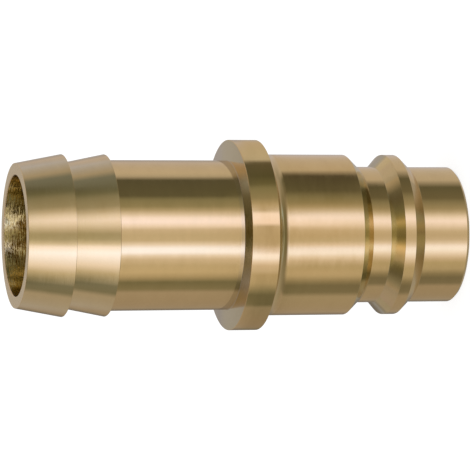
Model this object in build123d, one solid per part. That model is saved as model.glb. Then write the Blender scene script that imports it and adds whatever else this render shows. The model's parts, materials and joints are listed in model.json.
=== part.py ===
from build123d import *

import os
from math import radians, tan

# Quick-coupling plug with a barbed hose tail, turned from one piece of brass bar.
# All sizes are in millimetres. The turning axis is Z. The part stands on its nose, so
# the nose face is z = 0 and the open mouth of the hose tail is at the top.
# Every diameter is worked outwards from the nominal bore or from the hose size.

# Plug end, from the bore outwards
NOMINAL_BORE = 13.0       # clear bore through the plug end
NOSE_WALL = 2.2           # wall of the nose, which slides into the socket's seal
COLLAR_HEIGHT = 1.575     # how far the collar and the body stand out from the nose
GROOVE_DEPTH = 1.55       # depth of the groove that the socket's locking balls drop into
FLANGE_HEIGHT = 1.85      # how far the flange stands out from the body

# Plug end, along the axis from the nose upwards
NOSE_LENGTH = 6.05
COLLAR_LEAD = 1.65        # cone that spreads the locking balls as the plug goes in
COLLAR_LAND = 1.4
COLLAR_BACK = 1.4         # cone that the balls pull against
GROOVE_FLOOR = 2.4
GROOVE_LEAD = 1.6         # cone from the groove up to the body
BODY_LENGTH = 11.55
FLANGE_THICKNESS = 3.55

# Hose tail
HOSE_SIZE = 19.0          # outside of the stem, which is the inside of the hose
TAIL_WALL = 1.9           # wall between the stem and the tail's bore
TAIL_LENGTH = 27.5        # from the flange to the mouth
BARB_COUNT = 2
FIRST_BARB = 5.85         # from the mouth to the first crest
BARB_PITCH = 5.5          # from one crest to the next
BARB_RISE = 0.725         # crest above the stem
BARB_FALL = 0.4           # foot of each ramp below the stem

# Step inside, where the wider bore of the tail ends in a drill point
BORE_OVERRUN = 3.5        # the tail's bore runs on this far below the tail
POINT_ANGLE = 118.0       # full angle of the drill point

# Corners
ROOT_FILLET = 1.5         # between the body and the flange
TOOL_RADIUS = 0.2         # left by the tool in the corners at both ends of the stem
EDGE_BREAK = 0.12         # mouth, crests and rims
NOSE_CHAMFER = 0.35       # outer edge of the nose
BORE_CHAMFER = 0.3        # inner edge of the nose

# Radii
bore_r = NOMINAL_BORE / 2
nose_r = bore_r + NOSE_WALL
plug_r = nose_r + COLLAR_HEIGHT
groove_r = plug_r - GROOVE_DEPTH
flange_r = plug_r + FLANGE_HEIGHT
stem_r = HOSE_SIZE / 2
tail_bore_r = stem_r - TAIL_WALL
crest_r = stem_r + BARB_RISE
foot_r = stem_r - BARB_FALL
# The fillet has to end on the flange's face, inside its broken edge
root_fillet = min(ROOT_FILLET, 0.9 * (FLANGE_HEIGHT - EDGE_BREAK))

# Heights, from the nose face upwards
collar_foot_z = NOSE_LENGTH
collar_bottom_z = collar_foot_z + COLLAR_LEAD
collar_top_z = collar_bottom_z + COLLAR_LAND
groove_bottom_z = collar_top_z + COLLAR_BACK
groove_top_z = groove_bottom_z + GROOVE_FLOOR
body_bottom_z = groove_top_z + GROOVE_LEAD
flange_bottom_z = body_bottom_z + BODY_LENGTH
flange_top_z = flange_bottom_z + FLANGE_THICKNESS
mouth_z = flange_top_z + TAIL_LENGTH
crest_heights = [mouth_z - FIRST_BARB - number * BARB_PITCH for number in range(BARB_COUNT)]
shoulder_z = flange_top_z - BORE_OVERRUN
point_z = shoulder_z - tail_bore_r / tan(radians(POINT_ANGLE / 2))


def corner(sketch, radius, height):
    """The vertex of a half section nearest to a radius and a height."""
    return sketch.vertices().sort_by_distance((radius, height))[0]


# Outline of the tail, from the mouth down: each barb is a ramp that widens away from the
# mouth and ends in a flat back, and the stem runs from the last back to the flange
ramp_tops = [mouth_z] + crest_heights[:-1]
tail_outline = []
for ramp_top_z, crest_z in zip(ramp_tops, crest_heights):
    tail_outline += [(foot_r, ramp_top_z), (crest_r, crest_z)]
tail_outline += [(stem_r, crest_heights[-1]), (stem_r, flange_top_z)]

# Outline of the plug end, from the flange down to the nose
plug_outline = [
    (flange_r, flange_top_z),
    (flange_r, flange_bottom_z),
    (plug_r, flange_bottom_z),
    (plug_r, body_bottom_z),
    (groove_r, groove_top_z),
    (groove_r, groove_bottom_z),
    (plug_r, collar_top_z),
    (plug_r, collar_bottom_z),
    (nose_r, collar_foot_z),
    (nose_r, 0),
]

with BuildPart() as plug:
    # Outside, one half section turned about the axis
    with BuildSketch(Plane.XZ) as outside:
        with BuildLine():
            Polyline((0, mouth_z), *tail_outline, *plug_outline, (0, 0), close=True)
        make_face()
        fillet(corner(outside, plug_r, flange_bottom_z), root_fillet)
        fillet(corner(outside, stem_r, flange_top_z), TOOL_RADIUS)
        fillet(corner(outside, stem_r, crest_heights[-1]), TOOL_RADIUS)
        chamfer(corner(outside, foot_r, mouth_z), EDGE_BREAK)
        for crest_z in crest_heights:
            chamfer(corner(outside, crest_r, crest_z), EDGE_BREAK)
        chamfer(corner(outside, flange_r, flange_top_z), EDGE_BREAK)
        chamfer(corner(outside, flange_r, flange_bottom_z), EDGE_BREAK)
        chamfer(corner(outside, nose_r, 0), NOSE_CHAMFER)
    revolve(axis=Axis.Z)

    # Bore of the tail, drilled from the mouth with its edge broken, down to the drill point
    with BuildSketch(Plane.XZ):
        with BuildLine():
            Polyline(
                (0, mouth_z),
                (tail_bore_r + EDGE_BREAK, mouth_z),
                (tail_bore_r, mouth_z - EDGE_BREAK),
                (tail_bore_r, shoulder_z),
                (0, point_z),
                close=True,
            )
        make_face()
    revolve(axis=Axis.Z, mode=Mode.SUBTRACT)

    # Bore of the plug end, drilled from the nose until it meets the wider bore
    with BuildSketch(Plane.XZ):
        with BuildLine():
            Polyline(
                (0, 0),
                (bore_r + BORE_CHAMFER, 0),
                (bore_r, BORE_CHAMFER),
                (bore_r, shoulder_z),
                (0, shoulder_z),
                close=True,
            )
        make_face()
    revolve(axis=Axis.Z, mode=Mode.SUBTRACT)

os.makedirs("parts", exist_ok=True)
export_step(plug.part, "parts/hose_tail_plug.step")
print("length", mouth_z, "flange", 2 * flange_r, "plug", 2 * plug_r, "nose", 2 * nose_r)
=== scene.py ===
import json

import bpy
import numpy as np
from mathutils import Matrix, Vector


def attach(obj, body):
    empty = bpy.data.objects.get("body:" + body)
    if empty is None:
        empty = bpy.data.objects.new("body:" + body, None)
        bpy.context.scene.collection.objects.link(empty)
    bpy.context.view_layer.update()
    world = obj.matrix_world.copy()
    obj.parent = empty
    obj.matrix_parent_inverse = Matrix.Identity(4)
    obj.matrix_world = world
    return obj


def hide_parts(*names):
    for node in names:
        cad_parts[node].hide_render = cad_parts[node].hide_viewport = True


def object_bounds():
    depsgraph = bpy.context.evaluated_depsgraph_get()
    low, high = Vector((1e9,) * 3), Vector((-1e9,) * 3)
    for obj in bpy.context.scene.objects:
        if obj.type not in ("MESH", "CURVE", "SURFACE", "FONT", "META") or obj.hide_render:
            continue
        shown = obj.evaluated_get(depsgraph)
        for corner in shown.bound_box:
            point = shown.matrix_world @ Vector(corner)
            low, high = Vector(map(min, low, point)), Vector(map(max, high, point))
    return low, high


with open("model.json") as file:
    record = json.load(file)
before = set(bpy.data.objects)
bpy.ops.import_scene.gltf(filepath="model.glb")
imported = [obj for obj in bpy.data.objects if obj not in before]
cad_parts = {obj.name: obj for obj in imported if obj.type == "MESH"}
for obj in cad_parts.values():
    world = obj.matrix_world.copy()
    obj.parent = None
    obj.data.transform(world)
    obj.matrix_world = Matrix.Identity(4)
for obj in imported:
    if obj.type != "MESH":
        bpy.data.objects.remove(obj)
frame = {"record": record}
cad_low, cad_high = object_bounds()


# Outside and bore of the plug
# The real part is one piece of brass, turned from bar and drilled from both ends. Its half
# section is one closed outline, carried round the axis, with every edge lightly broken.

MM = 0.001
mounts = {mount["name"]: mount for mount in frame["record"]["mounts"]}

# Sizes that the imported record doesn't state, in millimetres. The shoulder is the flange's
# face towards the tail, which falls away a little from the stem to the rim.
GROOVE_DEPTH = 1.55
TAIL_WALL = 1.9
BARB_RISE = 0.725       # crest above the stem
BARB_FALL = 0.4         # foot of each ramp below the stem
FLANGE_THICKNESS = 3.55
SHOULDER_FALL = 0.23
BODY_LENGTH = 11.55
GROOVE_LEAD = 1.65      # cone from the groove up to the body
GROOVE_FLOOR = 2.35
COLLAR_BACK = 1.4       # cone from the collar up to the groove
COLLAR_LAND = 1.4
COLLAR_LEAD = 1.65      # cone from the nose up to the collar
FIRST_BARB = 5.85       # from the mouth to the first crest
BARB_PITCH = 5.5        # from one crest to the next
BORE_OVERRUN = 3.5      # the tail's bore runs on this far below the tail
POINT_ANGLE = 118       # full angle of the drill point, in degrees

# Radii, in millimetres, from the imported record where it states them
flange_r = (cad_high.x - cad_low.x) / 2 / MM
nose_r = mounts["nose"]["dims"]["r_mm"]
plug_r = mounts["plug_body"]["dims"]["r_mm"]
bore_r = mounts["plug_bore"]["dims"]["r_mm"]
tail_bore_r = mounts["tail_bore"]["dims"]["r_mm"]
groove_r = plug_r - GROOVE_DEPTH
stem_r = tail_bore_r + TAIL_WALL
crest_r = stem_r + BARB_RISE
foot_r = stem_r - BARB_FALL

# Heights, in millimetres, from the nose face upwards
mouth_z = cad_high.z / MM
flange_top_z = mounts["hose_stop"]["pos_m"][2] / MM
flange_bottom_z = flange_top_z - FLANGE_THICKNESS
body_bottom_z = flange_bottom_z - BODY_LENGTH
groove_top_z = body_bottom_z - GROOVE_LEAD
groove_bottom_z = groove_top_z - GROOVE_FLOOR
collar_top_z = groove_bottom_z - COLLAR_BACK
collar_bottom_z = collar_top_z - COLLAR_LAND
collar_foot_z = collar_bottom_z - COLLAR_LEAD
first_crest_z = mouth_z - FIRST_BARB
second_crest_z = first_crest_z - BARB_PITCH
point_top_z = flange_top_z - BORE_OVERRUN
step_z = point_top_z - (tail_bore_r - bore_r) / np.tan(np.radians(POINT_ANGLE / 2))

# Roundings of edges and corners, and the chamfers at the nose, in millimetres
EDGE = 0.05
RIM_EDGE = 0.08
SOFT_EDGE = 0.1
MOUTH_EDGE = 0.12
GROOVE_CORNER = 0.04
TOOL_RADIUS = 0.2
ROOT_FILLET = 1.78
NOSE_CHAMFER = 0.35
BORE_CHAMFER = 0.3

# Each corner is a radius, a height, the rounding of its edge, and the finish of the
# surface that follows it: turned outside, bored inside, faced at both ends, one of the two
# cones of the groove, the rim of the flange, or its shoulder.
TURNED, BORED, FACED, CONED, RIM, SHOULDER = 0, 1, 2, 3, 4, 5
corners = np.array([
    (foot_r, mouth_z, EDGE, TURNED),
    (crest_r, first_crest_z, EDGE, TURNED),
    (foot_r, first_crest_z, SOFT_EDGE, TURNED),
    (crest_r, second_crest_z, EDGE, TURNED),
    (stem_r, second_crest_z, TOOL_RADIUS, TURNED),
    (stem_r, flange_top_z + SHOULDER_FALL, EDGE, SHOULDER),
    (flange_r, flange_top_z, RIM_EDGE, RIM),
    (flange_r, flange_bottom_z, EDGE, TURNED),
    (plug_r, flange_bottom_z, ROOT_FILLET, TURNED),
    (plug_r, body_bottom_z, EDGE, CONED),
    (groove_r, groove_top_z, GROOVE_CORNER, TURNED),
    (groove_r, groove_bottom_z, GROOVE_CORNER, CONED),
    (plug_r, collar_top_z, EDGE, TURNED),
    (plug_r, collar_bottom_z, EDGE, TURNED),
    (nose_r, collar_foot_z, SOFT_EDGE, TURNED),
    (nose_r, NOSE_CHAMFER, SOFT_EDGE, TURNED),
    (nose_r - NOSE_CHAMFER, 0.0, EDGE, FACED),
    (bore_r + BORE_CHAMFER, 0.0, EDGE, BORED),
    (bore_r, BORE_CHAMFER, SOFT_EDGE, BORED),
    (bore_r, step_z, SOFT_EDGE, BORED),
    (tail_bore_r, point_top_z, SOFT_EDGE, BORED),
    (tail_bore_r, mouth_z, MOUTH_EDGE, FACED),
])


def rounded_outline(corners, steps):
    """Closed outline with every corner rounded, as whole arrays.

    At a corner the heading turns evenly from the side before to the side after. The arc starts
    one tangent length before the corner, and a point on it is that start plus the rounding times
    the change in sine and minus cosine of the heading. Returns radius, height and heading, one
    row for each corner.
    """
    point, rounding = corners[:, :2], corners[:, 2:3]
    before = point - np.roll(point, 1, axis=0)
    after = np.roll(point, -1, axis=0) - point
    first = np.arctan2(before[:, 1:], before[:, :1])
    turn = np.arctan2(after[:, 1:], after[:, :1]) - first
    turn = (turn + np.pi) % (2 * np.pi) - np.pi
    before_length = np.linalg.norm(before, axis=1, keepdims=True)
    start = point - before / before_length * rounding * np.tan(np.abs(turn) / 2)
    heading = first + turn * np.linspace(0, 1, steps)
    side = np.sign(turn) * rounding
    radius = start[:, :1] + side * (np.sin(heading) - np.sin(first))
    height = start[:, 1:] - side * (np.cos(heading) - np.cos(first))
    return radius, height, heading


def turned_mesh(name, corners, steps, segments):
    """Closed outline carried round the axis: x and y are the radius times the cosine and sine of
    the azimuth, z is the height. Normals are the outline's own, a quarter turn from its heading.
    U is the azimuth and V the distance along the outline, both from 0 to 1."""
    radius, height, heading = rounded_outline(corners, steps)
    finish = np.repeat(corners[:, 3].astype(int), steps)
    radius, height, heading = radius.ravel() * MM, height.ravel() * MM, heading.ravel()
    rows = len(radius)
    run = np.hypot(np.roll(radius, -1) - radius, np.roll(height, -1) - height)
    length = run.sum()
    along = np.concatenate([[0.0], np.cumsum(run)]) / length

    azimuth = np.arange(segments) * 2 * np.pi / segments
    ring = np.stack([np.cos(azimuth), np.sin(azimuth)], axis=-1)
    place = np.empty((rows, segments, 3))
    place[..., :2] = radius[:, None, None] * ring
    place[..., 2] = height[:, None]
    normal = np.empty((rows, segments, 3))
    normal[..., :2] = -np.sin(heading)[:, None, None] * ring
    normal[..., 2] = np.cos(heading)[:, None]

    row, column = np.meshgrid(np.arange(rows), np.arange(segments), indexing="ij")
    row_step = np.array([0, 1, 1, 0])
    column_step = np.array([0, 0, 1, 1])
    row4 = row[..., None] + row_step
    column4 = column[..., None] + column_step
    quads = (row4 % rows) * segments + column4 % segments
    uv = np.stack([column4 / segments, along[row4]], axis=-1)

    mesh = bpy.data.meshes.new(name)
    mesh.from_pydata(place.reshape(-1, 3).tolist(), [], quads.reshape(-1, 4).tolist())
    mesh.polygons.foreach_set("use_smooth", np.ones(rows * segments, bool))
    mesh.polygons.foreach_set("material_index", np.repeat(finish, segments))
    layer = mesh.uv_layers.new(name="UVMap")
    layer.data.foreach_set("uv", uv.ravel())
    mesh.normals_split_custom_set_from_vertices(normal.reshape(-1, 3).tolist())
    mesh.update()
    return mesh, length


ARC_STEPS = 9
SEGMENTS = 400
plug_mesh, outline_length = turned_mesh("plug", corners, ARC_STEPS, SEGMENTS)
plug = bpy.data.objects.new("plug", plug_mesh)
bpy.context.scene.collection.objects.link(plug)


def node(tree, kind, **values):
    """A node with its inputs set by name and its other settings by attribute."""
    made = tree.nodes.new(kind)
    for key, value in values.items():
        if hasattr(made, key):
            setattr(made, key, value)
        else:
            made.inputs[key.replace("_", " ")].default_value = value
    return made


# Pace of the tone along the outline against that of the rings, and how far the noise moves
# each ridge, in rings
TONE_PACE = 0.12
RIDGE_SHIFT = -0.8


def turning_marks():
    """Node group for the rings that a cutting tool leaves. Height is noise read fast along the
    outline and slowly round the axis, which breaks the rings into arcs, and Tone is noise read
    more slowly along the outline. Ridges are the steps of a coarse feed, one for each ring: each
    falls evenly along the outline and rises again at once, by as much as the tone says. All
    three run from 0 to 1."""
    group = bpy.data.node_groups.new("turning_marks", "ShaderNodeTree")
    defaults = {"Rings per metre": 6000.0, "Arcs round the axis": 2.0, "Length": 0.1}
    for name, value in defaults.items():
        socket = group.interface.new_socket(name, in_out="INPUT", socket_type="NodeSocketFloat")
        socket.default_value = value
    for name in ("Height", "Tone", "Ridges"):
        group.interface.new_socket(name, in_out="OUTPUT", socket_type="NodeSocketFloat")
    links = group.links
    inlet = group.nodes.new("NodeGroupInput")
    outlet = group.nodes.new("NodeGroupOutput")

    # Distance along the outline, in rings
    uv = node(group, "ShaderNodeUVMap", uv_map="UVMap")
    split = node(group, "ShaderNodeSeparateXYZ")
    links.new(uv.outputs["UV"], split.inputs[0])
    metres = node(group, "ShaderNodeMath", operation="MULTIPLY")
    links.new(split.outputs["Y"], metres.inputs[0])
    links.new(inlet.outputs["Length"], metres.inputs[1])
    rings = node(group, "ShaderNodeMath", operation="MULTIPLY")
    links.new(metres.outputs[0], rings.inputs[0])
    links.new(inlet.outputs["Rings per metre"], rings.inputs[1])

    # Direction round the axis, the same at every radius
    place = node(group, "ShaderNodeTexCoord")
    flat = node(group, "ShaderNodeVectorMath", operation="MULTIPLY")
    flat.inputs[1].default_value = (1, 1, 0)
    links.new(place.outputs["Object"], flat.inputs[0])
    unit = node(group, "ShaderNodeVectorMath", operation="NORMALIZE")
    links.new(flat.outputs[0], unit.inputs[0])
    arcs = node(group, "ShaderNodeVectorMath", operation="SCALE")
    links.new(unit.outputs[0], arcs.inputs[0])
    links.new(inlet.outputs["Arcs round the axis"], arcs.inputs["Scale"])
    parts = node(group, "ShaderNodeSeparateXYZ")
    links.new(arcs.outputs[0], parts.inputs[0])
    where = node(group, "ShaderNodeCombineXYZ")
    links.new(parts.outputs["X"], where.inputs["X"])
    links.new(parts.outputs["Y"], where.inputs["Y"])
    links.new(rings.outputs[0], where.inputs["Z"])

    fine = node(group, "ShaderNodeTexNoise", Scale=1.0, Detail=2.0, Roughness=0.6)
    links.new(where.outputs[0], fine.inputs["Vector"])
    links.new(fine.outputs["Fac"], outlet.inputs["Height"])
    slow = node(group, "ShaderNodeVectorMath", operation="MULTIPLY")
    slow.inputs[1].default_value = (1.0, 1.0, TONE_PACE)
    links.new(where.outputs[0], slow.inputs[0])
    broad = node(group, "ShaderNodeTexNoise", Scale=1.0, Detail=3.0, Roughness=0.65)
    links.new(slow.outputs[0], broad.inputs["Vector"])
    links.new(broad.outputs["Fac"], outlet.inputs["Tone"])

    # Steps that fall towards the end of the outline, a little out of line with each other
    uneven = node(group, "ShaderNodeMath", operation="MULTIPLY_ADD")
    links.new(fine.outputs["Fac"], uneven.inputs[0])
    uneven.inputs[1].default_value = RIDGE_SHIFT
    fall = node(group, "ShaderNodeMath", operation="SUBTRACT")
    fall.inputs[0].default_value = 0.0
    links.new(rings.outputs[0], fall.inputs[1])
    links.new(fall.outputs[0], uneven.inputs[2])
    step = node(group, "ShaderNodeMath", operation="FRACT")
    links.new(uneven.outputs[0], step.inputs[0])
    ridges = node(group, "ShaderNodeMath", operation="MULTIPLY")
    links.new(step.outputs[0], ridges.inputs[0])
    links.new(broad.outputs["Fac"], ridges.inputs[1])
    links.new(ridges.outputs[0], outlet.inputs["Ridges"])
    return group


marks_group = turning_marks()


# The tone lies mostly between a low and a high value. The stretch of the highlights is turned
# by a quarter from the direction round the axis.
TONE_LOW = 0.3
TONE_HIGH = 0.7
QUARTER_TURN = 0.25


def brass_finish(name, colour, tint, roughness, spread, anisotropy, rings, arcs, depth, profile):
    """Bare brass with cutting marks: their profile lifts the surface by depth metres, and their
    tone moves the roughness by the given spread and the colour between its darker tint and
    itself."""
    material = bpy.data.materials.new(name)
    material.use_nodes = True
    tree = material.node_tree
    shader = tree.nodes["Principled BSDF"]
    shader.inputs["Metallic"].default_value = 1.0
    shader.inputs["Anisotropic"].default_value = anisotropy
    shader.inputs["Anisotropic Rotation"].default_value = QUARTER_TURN
    round_axis = node(tree, "ShaderNodeTangent", direction_type="UV_MAP", uv_map="UVMap")
    tree.links.new(round_axis.outputs[0], shader.inputs["Tangent"])

    marks = tree.nodes.new("ShaderNodeGroup")
    marks.node_tree = marks_group
    marks.inputs["Rings per metre"].default_value = rings
    marks.inputs["Arcs round the axis"].default_value = arcs
    marks.inputs["Length"].default_value = outline_length
    rough = node(tree, "ShaderNodeMapRange")
    rough.inputs["From Min"].default_value = TONE_LOW
    rough.inputs["From Max"].default_value = TONE_HIGH
    rough.inputs["To Min"].default_value = roughness - spread
    rough.inputs["To Max"].default_value = roughness + spread
    tree.links.new(marks.outputs["Tone"], rough.inputs["Value"])
    tree.links.new(rough.outputs[0], shader.inputs["Roughness"])
    paint = node(tree, "ShaderNodeMix", data_type="RGBA")
    paint.inputs["A"].default_value = (*tint, 1)
    paint.inputs["B"].default_value = (*colour, 1)
    tone = node(tree, "ShaderNodeMapRange")
    tone.inputs["From Min"].default_value = TONE_LOW
    tone.inputs["From Max"].default_value = TONE_HIGH
    tree.links.new(marks.outputs["Tone"], tone.inputs["Value"])
    tree.links.new(tone.outputs[0], paint.inputs["Factor"])
    tree.links.new(paint.outputs["Result"], shader.inputs["Base Color"])
    bump = node(tree, "ShaderNodeBump", Strength=1.0, Distance=depth)
    tree.links.new(marks.outputs[profile], bump.inputs["Height"])
    tree.links.new(bump.outputs[0], shader.inputs["Normal"])
    return material


BRASS = (0.82, 0.615, 0.305)
DARKER_BRASS = (0.77, 0.575, 0.28)
# The cones of the groove get an olive copy of the brass: a painted reflection colour, standing in
# for the cards that they see through each other.
CONE_PAINTED_REFLECTION_BRASS = (0.74, 0.62, 0.35)
DARKER_CONE_PAINTED_REFLECTION_BRASS = (0.69, 0.57, 0.31)
# The shoulder of the flange gets a darker, duller copy of the brass: painted shade.
SHOULDER_PAINTED_SHADE_BRASS = (0.60, 0.51, 0.36)
DARKER_SHOULDER_PAINTED_SHADE_BRASS = (0.56, 0.47, 0.32)
# The bore's darker tint is about a third as bright as its brass: painted shade inside the bore,
# laid in random streaks by the tone of the marks.
BORE_BRASS = (0.74, 0.56, 0.21)
BORE_BRASS_PAINTED_SHADE = (0.24, 0.19, 0.08)
FACED_BRASS = (0.90, 0.71, 0.43)
DARKER_FACED_BRASS = (0.84, 0.66, 0.39)

# Each finish has its colour and darker tint, its roughness and the spread of that, its
# anisotropy, its rings per metre, its arcs round the axis, and the depth in metres and the
# profile of its marks. They come in the order of the numbers that the corners give.
for finish in (
    ("turned_brass", BRASS, DARKER_BRASS, 0.09, 0.03, 0.4, 6000, 3.0, 1e-6, "Height"),
    # In the bore the darker tint is painted shade.
    ("bored_brass", BORE_BRASS, BORE_BRASS_PAINTED_SHADE, 0.10, 0.03, 0.0, 3700, 5.0, 80e-6, "Ridges"),
    ("faced_brass", FACED_BRASS, DARKER_FACED_BRASS, 0.26, 0.04, 0.0, 5000, 3.0, 2e-6, "Height"),
    # On the cones the olive colour and its tint are a painted reflection colour.
    ("coned_brass", CONE_PAINTED_REFLECTION_BRASS, DARKER_CONE_PAINTED_REFLECTION_BRASS, 0.10, 0.02, 0.2, 6000, 5.0, 1e-6, "Height"),
    ("rim_brass", BRASS, DARKER_BRASS, 0.05, 0.01, 0.4, 6000, 3.0, 0.2e-6, "Height"),
    # On the shoulder the duller, darker colour and its tint are painted shade.
    ("shoulder_brass", SHOULDER_PAINTED_SHADE_BRASS, DARKER_SHOULDER_PAINTED_SHADE_BRASS, 0.11, 0.02, 0.0, 6000, 3.0, 1e-6, "Height"),
):
    plug_mesh.materials.append(brass_finish(*finish))

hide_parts("hose_tail_plug")
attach(plug, "root")


# Camera
# It looks at the part's side from well away, 15 degrees round towards the mouth, and is
# rolled a quarter turn, because the part lies level in the photograph and stands here.

PICTURE_PX = 470
FOCAL_PX = 2998.4
DISTANCE = 0.38182
AIM_BELOW_MOUTH = 0.028476
TOWARDS_MOUTH = np.radians(15.03)
LEAN = np.radians(-0.204)

back = Vector((0, -np.cos(TOWARDS_MOUTH), np.sin(TOWARDS_MOUTH)))
level_right = Vector((0, -np.sin(TOWARDS_MOUTH), -np.cos(TOWARDS_MOUTH)))
level_up = Vector((1, 0, 0))
right = np.cos(LEAN) * level_right + np.sin(LEAN) * level_up
up = np.cos(LEAN) * level_up - np.sin(LEAN) * level_right
eye = Vector((0, 0, cad_high.z - AIM_BELOW_MOUTH)) + DISTANCE * back

lens = bpy.data.cameras.new("camera")
lens.sensor_width = 36
lens.lens = FOCAL_PX * lens.sensor_width / PICTURE_PX
lens.clip_start = 0.01
lens.clip_end = 20
camera = bpy.data.objects.new("camera", lens)
camera.matrix_world = Matrix.Translation(eye) @ Matrix((right, up, back)).transposed().to_4x4()
bpy.context.scene.collection.objects.link(camera)
bpy.context.scene.camera = camera
bpy.context.scene.view_settings.view_transform = "Standard"


# Floor
# A plain white table top. It keeps the part's soft shadow, and is left out of the brass's
# reflections, because in the photograph the part lies among cards with no table below it.

FLOOR_HALF = 6.0
FLOOR_GREY = (0.3, 0.3, 0.3, 1)
FLOOR_GLOW = 0.8
floor_mesh = bpy.data.meshes.new("floor")
side = np.array([-FLOOR_HALF, FLOOR_HALF])
floor_x, floor_y = np.meshgrid(side, side)
floor_mesh.from_pydata(
    np.stack([floor_x.ravel(), floor_y.ravel(), np.zeros(4)], axis=-1).tolist(), [], [(0, 1, 3, 2)]
)
floor = bpy.data.objects.new("floor", floor_mesh)
floor.visible_glossy = False
bpy.context.scene.collection.objects.link(floor)

table_top = bpy.data.materials.new("table_top")
table_top.use_nodes = True
tree = table_top.node_tree
tree.nodes.clear()
path = node(tree, "ShaderNodeLightPath")
seen = node(tree, "ShaderNodeMath", operation="ADD", use_clamp=True)
tree.links.new(path.outputs["Is Camera Ray"], seen.inputs[0])
tree.links.new(path.outputs["Is Glossy Ray"], seen.inputs[1])
seen_too = node(tree, "ShaderNodeMath", operation="ADD", use_clamp=True)
tree.links.new(seen.outputs[0], seen_too.inputs[0])
tree.links.new(path.outputs["Is Transmission Ray"], seen_too.inputs[1])
strength = node(tree, "ShaderNodeMath", operation="MULTIPLY")
strength.inputs[1].default_value = FLOOR_GLOW
tree.links.new(seen_too.outputs[0], strength.inputs[0])
glow = node(tree, "ShaderNodeEmission", Color=(1, 1, 1, 1))
tree.links.new(strength.outputs[0], glow.inputs["Strength"])
matt = node(tree, "ShaderNodeBsdfDiffuse", Color=FLOOR_GREY)
both = node(tree, "ShaderNodeAddShader")
tree.links.new(matt.outputs[0], both.inputs[0])
tree.links.new(glow.outputs[0], both.inputs[1])
surface = node(tree, "ShaderNodeOutputMaterial")
tree.links.new(both.outputs[0], surface.inputs["Surface"])
floor_mesh.materials.append(table_top)


# Studio light
# A white room, and round the part a tent of pale and dark cards with two long softboxes, which
# only the brass sees. Cards and softboxes run parallel to the axis, so they show as long bands.

world = bpy.data.worlds.new("white_room")
bpy.context.scene.world = world
world.use_nodes = True
room = world.node_tree.nodes["Background"]
room.inputs["Color"].default_value = (1, 1, 1, 1)
room.inputs["Strength"].default_value = 1.0

TENT_RADIUS = 1.0
TENT_HALF_HEIGHT = 1.0
TENT_STEPS = 144


def tent_mesh(name, radius, half_height, steps):
    """Upright tube closed by two discs, seen from inside. The wall is the radius times the sine
    and minus cosine of the azimuth, from the lower height to the upper, and each disc is a fan
    round its own centre."""
    azimuth = (np.arange(steps) / steps - 0.5) * 2 * np.pi
    ring = np.stack([radius * np.sin(azimuth), -radius * np.cos(azimuth)], axis=-1)
    places = np.zeros((2 * steps + 2, 3))
    places[:steps, :2] = ring
    places[steps:2 * steps, :2] = ring
    places[:steps, 2] = -half_height
    places[steps:2 * steps, 2] = half_height
    places[2 * steps] = (0, 0, -half_height)
    places[2 * steps + 1] = (0, 0, half_height)
    here = np.arange(steps)
    there = (here + 1) % steps
    wall = np.stack([here, here + steps, there + steps, there], axis=-1)
    under = np.stack([here, there, np.full(steps, 2 * steps)], axis=-1)
    over = np.stack([there + steps, here + steps, np.full(steps, 2 * steps + 1)], axis=-1)
    mesh = bpy.data.meshes.new(name)
    mesh.from_pydata(places.tolist(), [], wall.tolist() + under.tolist() + over.tolist())
    return mesh


tent = bpy.data.objects.new(
    "card_tent", tent_mesh("card_tent", TENT_RADIUS, TENT_HALF_HEIGHT, TENT_STEPS)
)
bpy.context.scene.collection.objects.link(tent)
tent.visible_camera = False
tent.visible_diffuse = False
tent.visible_shadow = False
tent.visible_transmission = False

cards = bpy.data.materials.new("cards_and_softboxes")
cards.use_nodes = True
tree = cards.node_tree
tree.nodes.clear()
where = node(tree, "ShaderNodeTexCoord")
split = node(tree, "ShaderNodeSeparateXYZ")
tree.links.new(where.outputs["Object"], split.inputs[0])
to_camera = node(tree, "ShaderNodeMath", operation="MULTIPLY")
to_camera.inputs[1].default_value = -1.0
tree.links.new(split.outputs["Y"], to_camera.inputs[0])
azimuth = node(tree, "ShaderNodeMath", operation="ARCTAN2")
tree.links.new(split.outputs["X"], azimuth.inputs[0])
tree.links.new(to_camera.outputs[0], azimuth.inputs[1])
turn = node(tree, "ShaderNodeMapRange")
turn.inputs["From Min"].default_value = -np.pi
turn.inputs["From Max"].default_value = np.pi
tree.links.new(azimuth.outputs[0], turn.inputs["Value"])


def card_ramp(stops):
    """Colour ramp over a full turn, from azimuths in degrees from the camera's side towards the
    top of the picture, each with the light there. The first light closes the turn."""
    stops = (*stops, (180, stops[0][1]))
    ramp = node(tree, "ShaderNodeValToRGB")
    while len(ramp.color_ramp.elements) < len(stops):
        ramp.color_ramp.elements.new(0.5)
    for element, (degrees, light) in zip(ramp.color_ramp.elements, stops):
        element.position = (degrees + 180) / 360
        element.color = (*light, 1)
    tree.links.new(turn.outputs[0], ramp.inputs["Fac"])
    return ramp.outputs["Color"]


def lay_beyond(distance, near, far, edge, blend):
    """One light where a distance is less than an edge and another beyond it, softly blended."""
    rise = node(tree, "ShaderNodeMapRange", interpolation_type="SMOOTHSTEP")
    rise.inputs["From Min"].default_value = edge - blend
    rise.inputs["From Max"].default_value = edge + blend
    tree.links.new(distance, rise.inputs["Value"])
    joined = node(tree, "ShaderNodeMix", data_type="RGBA")
    tree.links.new(rise.outputs[0], joined.inputs["Factor"])
    tree.links.new(near, joined.inputs["A"])
    tree.links.new(far, joined.inputs["B"])
    return joined.outputs["Result"]


# Dim cards low down, which the cones and the fillet that face the nose look at
low_cards = card_ramp((
    (-180, (0.44, 0.41, 0.36)),
    (-150, (0.39, 0.36, 0.30)),
    (-125, (0.37, 0.36, 0.32)),
    (-90, (0.28, 0.27, 0.25)),
    (-10, (0.24, 0.21, 0.15)),
    (40, (0.26, 0.23, 0.18)),
    (95, (0.29, 0.29, 0.28)),
    (115, (0.36, 0.35, 0.34)),
    (140, (0.47, 0.44, 0.41)),
    (165, (0.54, 0.48, 0.42)),
))

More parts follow.
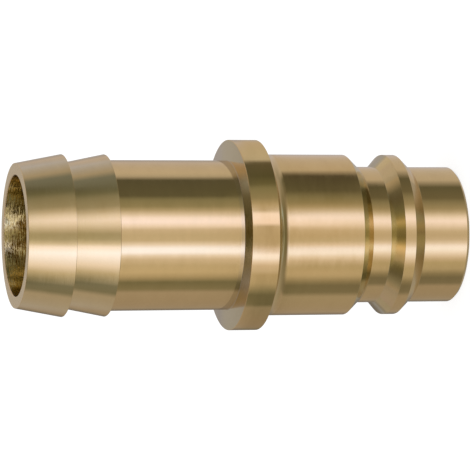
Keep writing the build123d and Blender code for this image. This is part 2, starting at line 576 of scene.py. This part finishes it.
# Two softboxes between tan cards. From the bottom up, the cards are those that the nose looks
# at with the collar and the groove, then the body, the rim of the flange, and the stem
nose_cards = card_ramp((
    (-180, (0.42, 0.40, 0.41)),
    (-171, (0.18, 0.16, 0.15)),
    (-157, (0.28, 0.26, 0.23)),
    (-147, (0.38, 0.34, 0.30)),
    (-100, (0.40, 0.36, 0.34)),
    (-91, (0.23, 0.22, 0.19)),
    (-79, (0.21, 0.20, 0.17)),
    (-71, (0.30, 0.28, 0.23)),
    (-61, (0.51, 0.47, 0.41)),
    (-49, (0.54, 0.50, 0.42)),
    (-43, (0.68, 0.62, 0.62)),
    (-37, (0.88, 0.84, 1.00)),
    (-31, (1.08, 1.10, 1.50)),
    (-25, (1.22, 1.32, 1.96)),
    (-20, (1.18, 1.24, 1.84)),
    (-15, (0.93, 0.91, 1.14)),
    (-9, (0.71, 0.66, 0.70)),
    (-2, (0.64, 0.59, 0.58)),
    (5, (0.69, 0.64, 0.65)),
    (10, (0.84, 0.80, 0.93)),
    (16, (1.04, 1.01, 1.33)),
    (22, (1.19, 1.18, 1.70)),
    (28, (1.05, 1.04, 1.36)),
    (33, (0.82, 0.79, 0.92)),
    (38, (0.58, 0.55, 0.54)),
    (44, (0.41, 0.38, 0.32)),
    (57, (0.27, 0.26, 0.21)),
    (64, (0.18, 0.17, 0.13)),
    (88, (0.14, 0.14, 0.11)),
    (106, (0.57, 0.54, 0.56)),
    (152, (0.60, 0.57, 0.60)),
))
body_cards = card_ramp((
    (-180, (0.42, 0.40, 0.41)),
    (-171, (0.18, 0.16, 0.15)),
    (-157, (0.29, 0.25, 0.21)),
    (-146, (0.40, 0.35, 0.30)),
    (-100, (0.43, 0.40, 0.37)),
    (-90, (0.24, 0.23, 0.19)),
    (-77, (0.22, 0.21, 0.17)),
    (-70, (0.34, 0.31, 0.25)),
    (-61, (0.59, 0.53, 0.46)),
    (-56, (0.63, 0.56, 0.49)),
    (-45, (0.54, 0.49, 0.40)),
    (-38, (0.67, 0.61, 0.59)),
    (-32, (0.92, 0.88, 1.01)),
    (-26, (1.17, 1.24, 1.80)),
    (-20, (1.17, 1.24, 1.86)),
    (-14, (0.91, 0.83, 0.93)),
    (-9, (0.66, 0.61, 0.55)),
    (-1, (0.64, 0.56, 0.48)),
    (6, (0.70, 0.62, 0.57)),
    (11, (0.91, 0.83, 0.92)),
    (17, (1.10, 1.06, 1.38)),
    (24, (1.18, 1.18, 1.72)),
    (29, (1.08, 1.08, 1.52)),
    (34, (0.76, 0.72, 0.80)),
    (40, (0.49, 0.44, 0.36)),
    (46, (0.34, 0.31, 0.22)),
    (55, (0.24, 0.23, 0.165)),
    (66, (0.12, 0.115, 0.085)),
    (93, (0.09, 0.08, 0.065)),
    (106, (0.58, 0.52, 0.49)),
    (152, (0.61, 0.57, 0.61)),
))
rim_cards = card_ramp((
    (-180, (0.42, 0.40, 0.41)),
    (-171, (0.17, 0.15, 0.12)),
    (-157, (0.24, 0.21, 0.15)),
    (-149, (0.31, 0.26, 0.20)),
    (-125, (0.32, 0.28, 0.24)),
    (-98, (0.31, 0.29, 0.26)),
    (-93, (0.17, 0.17, 0.13)),
    (-77, (0.17, 0.17, 0.13)),
    (-71, (0.25, 0.25, 0.20)),
    (-60, (0.47, 0.43, 0.36)),
    (-49, (0.52, 0.46, 0.38)),
    (-44, (0.70, 0.64, 0.64)),
    (-37, (0.78, 0.70, 0.73)),
    (-33, (0.98, 0.93, 1.16)),
    (-28, (1.22, 1.28, 1.87)),
    (-24, (1.24, 1.28, 1.84)),
    (-20, (0.92, 0.85, 1.02)),
    (-12, (0.57, 0.50, 0.43)),
    (10, (0.57, 0.50, 0.44)),
    (14, (1.17, 1.07, 1.38)),
    (25, (1.17, 1.10, 1.40)),
    (29, (0.61, 0.54, 0.47)),
    (36, (0.53, 0.47, 0.38)),
    (45, (0.34, 0.32, 0.25)),
    (58, (0.27, 0.27, 0.20)),
    (64, (0.17, 0.17, 0.11)),
    (75, (0.11, 0.11, 0.07)),
    (97, (0.14, 0.13, 0.10)),
    (103, (0.57, 0.56, 0.56)),
    (120, (0.58, 0.55, 0.51)),
    (150, (0.56, 0.48, 0.38)),
))
stem_cards = card_ramp((
    (-180, (0.42, 0.40, 0.41)),
    (-171, (0.18, 0.16, 0.15)),
    (-158, (0.26, 0.23, 0.19)),
    (-148, (0.38, 0.33, 0.28)),
    (-98, (0.43, 0.39, 0.38)),
    (-90, (0.27, 0.26, 0.21)),
    (-76, (0.21, 0.21, 0.16)),
    (-66, (0.51, 0.46, 0.39)),
    (-58, (0.66, 0.60, 0.53)),
    (-46, (0.64, 0.59, 0.54)),
    (-37, (0.76, 0.71, 0.75)),
    (-31, (1.00, 1.00, 1.30)),
    (-26, (1.29, 1.47, 2.45)),
    (-20, (1.29, 1.49, 2.50)),
    (-14, (1.02, 1.01, 1.31)),
    (-8, (0.69, 0.65, 0.64)),
    (0, (0.66, 0.62, 0.60)),
    (8, (0.73, 0.68, 0.71)),
    (14, (1.07, 1.05, 1.40)),
    (20, (1.27, 1.29, 2.02)),
    (26, (1.21, 1.22, 1.80)),
    (32, (0.87, 0.84, 1.00)),
    (38, (0.55, 0.52, 0.48)),
    (44, (0.34, 0.33, 0.26)),
    (55, (0.27, 0.27, 0.21)),
    (62, (0.13, 0.13, 0.10)),
    (93, (0.11, 0.11, 0.09)),
    (102, (0.52, 0.50, 0.52)),
    (110, (0.61, 0.57, 0.58)),
    (148, (0.57, 0.53, 0.56)),
    (157, (0.45, 0.42, 0.42)),
))

# The brightest part of the softboxes, which the foot of the stem looks at in the shoulder
root_cards = card_ramp((
    (-180, (0.46, 0.44, 0.45)),
    (-173, (0.39, 0.37, 0.38)),
    (-164, (0.21, 0.19, 0.17)),
    (-155, (0.36, 0.36, 0.42)),
    (-145, (0.46, 0.47, 0.55)),
    (-98, (0.44, 0.42, 0.43)),
    (-89, (0.23, 0.24, 0.22)),
    (-76, (0.24, 0.26, 0.26)),
    (-66, (0.58, 0.59, 0.65)),
    (-56, (0.80, 0.82, 0.95)),
    (-44, (0.78, 0.80, 1.00)),
    (-36, (0.96, 1.00, 1.40)),
    (-30, (1.35, 1.55, 2.80)),
    (-25, (1.72, 2.15, 4.20)),
    (-20, (1.70, 2.10, 4.10)),
    (-14, (1.30, 1.44, 2.50)),
    (-8, (0.87, 0.91, 1.18)),
    (0, (0.83, 0.86, 1.08)),
    (8, (0.91, 0.95, 1.28)),
    (14, (1.33, 1.45, 2.55)),
    (20, (1.58, 1.80, 3.50)),
    (26, (1.50, 1.70, 3.20)),
    (32, (1.08, 1.16, 1.85)),
    (38, (0.68, 0.72, 0.88)),
    (44, (0.42, 0.46, 0.47)),
    (55, (0.32, 0.36, 0.37)),
    (64, (0.17, 0.19, 0.18)),
    (92, (0.21, 0.24, 0.27)),
    (103, (0.44, 0.42, 0.43)),
    (130, (0.52, 0.57, 0.82)),
    (168, (0.40, 0.37, 0.36)),
))

# The same softboxes further up, where the lower one is wider, which the barbs look at
barb_cards = card_ramp((
    (-180, (0.46, 0.44, 0.45)),
    (-173, (0.39, 0.37, 0.38)),
    (-164, (0.21, 0.19, 0.17)),
    (-155, (0.30, 0.28, 0.27)),
    (-145, (0.38, 0.35, 0.34)),
    (-98, (0.44, 0.42, 0.45)),
    (-89, (0.16, 0.16, 0.13)),
    (-78, (0.15, 0.16, 0.13)),
    (-68, (0.29, 0.29, 0.24)),
    (-56, (0.64, 0.61, 0.58)),
    (-45, (1.06, 1.05, 1.36)),
    (-25, (1.36, 1.55, 2.60)),
    (-17, (1.28, 1.34, 1.98)),
    (-12, (0.80, 0.78, 0.86)),
    (-6, (0.49, 0.49, 0.46)),
    (2, (0.46, 0.45, 0.41)),
    (8, (0.69, 0.66, 0.70)),
    (16, (1.00, 0.98, 1.22)),
    (22, (1.16, 1.15, 1.56)),
    (28, (0.98, 0.96, 1.17)),
    (35, (0.62, 0.59, 0.59)),
    (42, (0.38, 0.37, 0.33)),
    (56, (0.29, 0.29, 0.25)),
    (66, (0.17, 0.18, 0.14)),
    (76, (0.11, 0.11, 0.08)),
    (95, (0.13, 0.12, 0.10)),
    (103, (0.44, 0.42, 0.43)),
    (112, (0.55, 0.53, 0.56)),
    (146, (0.53, 0.50, 0.52)),
    (163, (0.40, 0.37, 0.36)),
    (172, (0.54, 0.51, 0.52)),
))

# Their upper ends, dimmer, which the two cones of the groove look at through each other
groove_cards = card_ramp((
    (-180, (0.50, 0.48, 0.43)),
    (-150, (0.44, 0.39, 0.35)),
    (-100, (0.38, 0.35, 0.28)),
    (-92, (0.20, 0.19, 0.15)),
    (-75, (0.20, 0.19, 0.15)),
    (-62, (0.29, 0.30, 0.29)),
    (-50, (0.49, 0.48, 0.44)),
    (-42, (0.69, 0.71, 0.74)),
    (-30, (1.26, 1.29, 1.75)),
    (-22, (1.25, 1.20, 1.47)),
    (-11, (0.73, 0.72, 0.68)),
    (-3, (0.46, 0.45, 0.36)),
    (5, (0.43, 0.42, 0.33)),
    (12, (0.60, 0.60, 0.55)),
    (18, (0.73, 0.74, 0.78)),
    (26, (0.62, 0.64, 0.70)),
    (34, (0.47, 0.50, 0.54)),
    (43, (0.34, 0.34, 0.33)),
    (52, (0.27, 0.26, 0.24)),
    (64, (0.18, 0.165, 0.135)),
    (92, (0.15, 0.14, 0.11)),
    (103, (0.45, 0.40, 0.36)),
    (118, (0.62, 0.54, 0.47)),
    (150, (0.66, 0.57, 0.50)),
))

# Dark cards over the softboxes, bluish at the sides, which the shoulder of the flange looks
# at by way of the stem
shoulder_cards = card_ramp((
    (-180, (0.35, 0.32, 0.30)),
    (-138, (0.45, 0.37, 0.36)),
    (-126, (0.46, 0.39, 0.36)),
    (-105, (0.42, 0.42, 0.56)),
    (-79, (0.47, 0.52, 0.82)),
    (-49, (0.29, 0.30, 0.34)),
    (-21, (0.158, 0.18, 0.145)),
    (4, (0.115, 0.103, 0.046)),
    (28, (0.109, 0.113, 0.072)),
    (63, (0.235, 0.26, 0.27)),
    (92, (0.54, 0.65, 0.97)),
    (108, (0.48, 0.52, 0.68)),
    (125, (0.60, 0.52, 0.48)),
    (140, (0.62, 0.53, 0.51)),
))

# Neutral dark cards over those, which the sides of the collar's back look at
dark_cards = card_ramp((
    (-180, (0.35, 0.32, 0.30)),
    (-138, (0.45, 0.37, 0.36)),
    (-126, (0.46, 0.39, 0.36)),
    (-112, (0.38, 0.33, 0.30)),
    (-98, (0.33, 0.285, 0.265)),
    (-60, (0.26, 0.215, 0.18)),
    (-14, (0.165, 0.14, 0.075)),
    (30, (0.11, 0.09, 0.045)),
    (62, (0.195, 0.17, 0.105)),
    (85, (0.305, 0.27, 0.215)),
    (112, (0.40, 0.35, 0.31)),
    (125, (0.60, 0.52, 0.48)),
    (140, (0.62, 0.53, 0.51)),
))

# Two small golden cards among dark ones overhead, which the back of the collar looks at
high_cards = card_ramp((
    (-180, (0.38, 0.35, 0.31)),
    (-150, (0.42, 0.36, 0.31)),
    (-118, (0.49, 0.39, 0.32)),
    (-108, (0.29, 0.257, 0.20)),
    (-96, (0.143, 0.122, 0.076)),
    (-86, (0.176, 0.148, 0.078)),
    (-80, (0.30, 0.25, 0.15)),
    (-74, (0.50, 0.40, 0.275)),
    (-64, (0.62, 0.48, 0.315)),
    (-54, (0.89, 0.67, 0.46)),
    (-45, (0.94, 0.68, 0.40)),
    (-36, (0.555, 0.42, 0.21)),
    (-25, (0.30, 0.233, 0.104)),
    (-10, (0.193, 0.153, 0.063)),
    (16, (0.258, 0.206, 0.10)),
    (30, (0.407, 0.323, 0.14)),
    (44, (0.605, 0.458, 0.24)),
    (54, (0.362, 0.286, 0.134)),
    (64, (0.23, 0.198, 0.105)),
    (75, (0.182, 0.159, 0.094)),
    (90, (0.129, 0.105, 0.067)),
    (101, (0.152, 0.134, 0.094)),
    (111, (0.416, 0.34, 0.264)),
    (122, (0.67, 0.525, 0.42)),
    (140, (0.66, 0.56, 0.50)),
))

# A board below, darkest in front, with a paler ring on it. The fillet looks at the board
# and the lead of the collar at the ring
board = card_ramp((
    (-180, (0.40, 0.38, 0.35)),
    (-115, (0.37, 0.36, 0.34)),
    (-75, (0.28, 0.27, 0.24)),
    (0, (0.18, 0.175, 0.12)),
    (75, (0.26, 0.25, 0.21)),
    (115, (0.40, 0.38, 0.37)),
))
board_ring = card_ramp((
    (-180, (0.40, 0.38, 0.35)),
    (-115, (0.39, 0.39, 0.40)),
    (-64, (0.34, 0.40, 0.44)),
    (-38, (0.42, 0.46, 0.46)),
    (-14, (0.375, 0.42, 0.38)),
    (8, (0.31, 0.32, 0.30)),
    (32, (0.43, 0.445, 0.40)),
    (66, (0.40, 0.50, 0.62)),
    (92, (0.42, 0.51, 0.61)),
    (115, (0.42, 0.42, 0.43)),
))
from_axis = node(tree, "ShaderNodeVectorMath", operation="LENGTH")
level_place = node(tree, "ShaderNodeVectorMath", operation="MULTIPLY")
level_place.inputs[1].default_value = (1, 1, 0)
tree.links.new(where.outputs["Object"], level_place.inputs[0])
tree.links.new(level_place.outputs[0], from_axis.inputs[0])

RING_INSIDE, RING_INSIDE_BLEND = 0.235, 0.03
RING_OUTSIDE, RING_OUTSIDE_BLEND = 0.40, 0.08
distance = from_axis.outputs["Value"]
inner_board = lay_beyond(distance, board, board_ring, RING_INSIDE, RING_INSIDE_BLEND)
whole_board = lay_beyond(distance, inner_board, board, RING_OUTSIDE, RING_OUTSIDE_BLEND)

WALL_FOOT = -0.998 * TENT_HALF_HEIGHT
SOFTBOX_FOOT = -0.65
NOSE_TOP = -0.3005
BODY_TOP = -0.2577
RIM_TOP = -0.2412
ROOT_LEVEL = -0.02
BARB_LEVEL = 0.158
GROOVE_LEVEL = 0.245
SOFTBOX_TOP = 0.44
SHOULDER_LEVEL = 0.58
DARK_TOP = 0.92

# The wall from the bottom up: each kind of card, the height of its lower end, and half the
# height over which it blends with what is below
all_cards = whole_board
for wall_cards, lower_end, blend in (
    (low_cards, WALL_FOOT, 0.001),
    (nose_cards, SOFTBOX_FOOT, 0.32),
    (body_cards, NOSE_TOP, 0.002),
    (rim_cards, BODY_TOP, 0.001),
    (stem_cards, RIM_TOP, 0.001),
    (root_cards, ROOT_LEVEL, 0.04),
    (barb_cards, BARB_LEVEL, 0.012),
    (groove_cards, GROOVE_LEVEL, 0.01),
    (shoulder_cards, SOFTBOX_TOP, 0.015),
    (dark_cards, SHOULDER_LEVEL, 0.01),
    (high_cards, DARK_TOP, 0.04),
):
    all_cards = lay_beyond(split.outputs["Z"], all_cards, wall_cards, lower_end, blend)
light = node(tree, "ShaderNodeEmission", Strength=1.0)
tree.links.new(all_cards, light.inputs["Color"])
surface = node(tree, "ShaderNodeOutputMaterial")
tree.links.new(light.outputs[0], surface.inputs["Surface"])
tent.data.materials.append(cards)
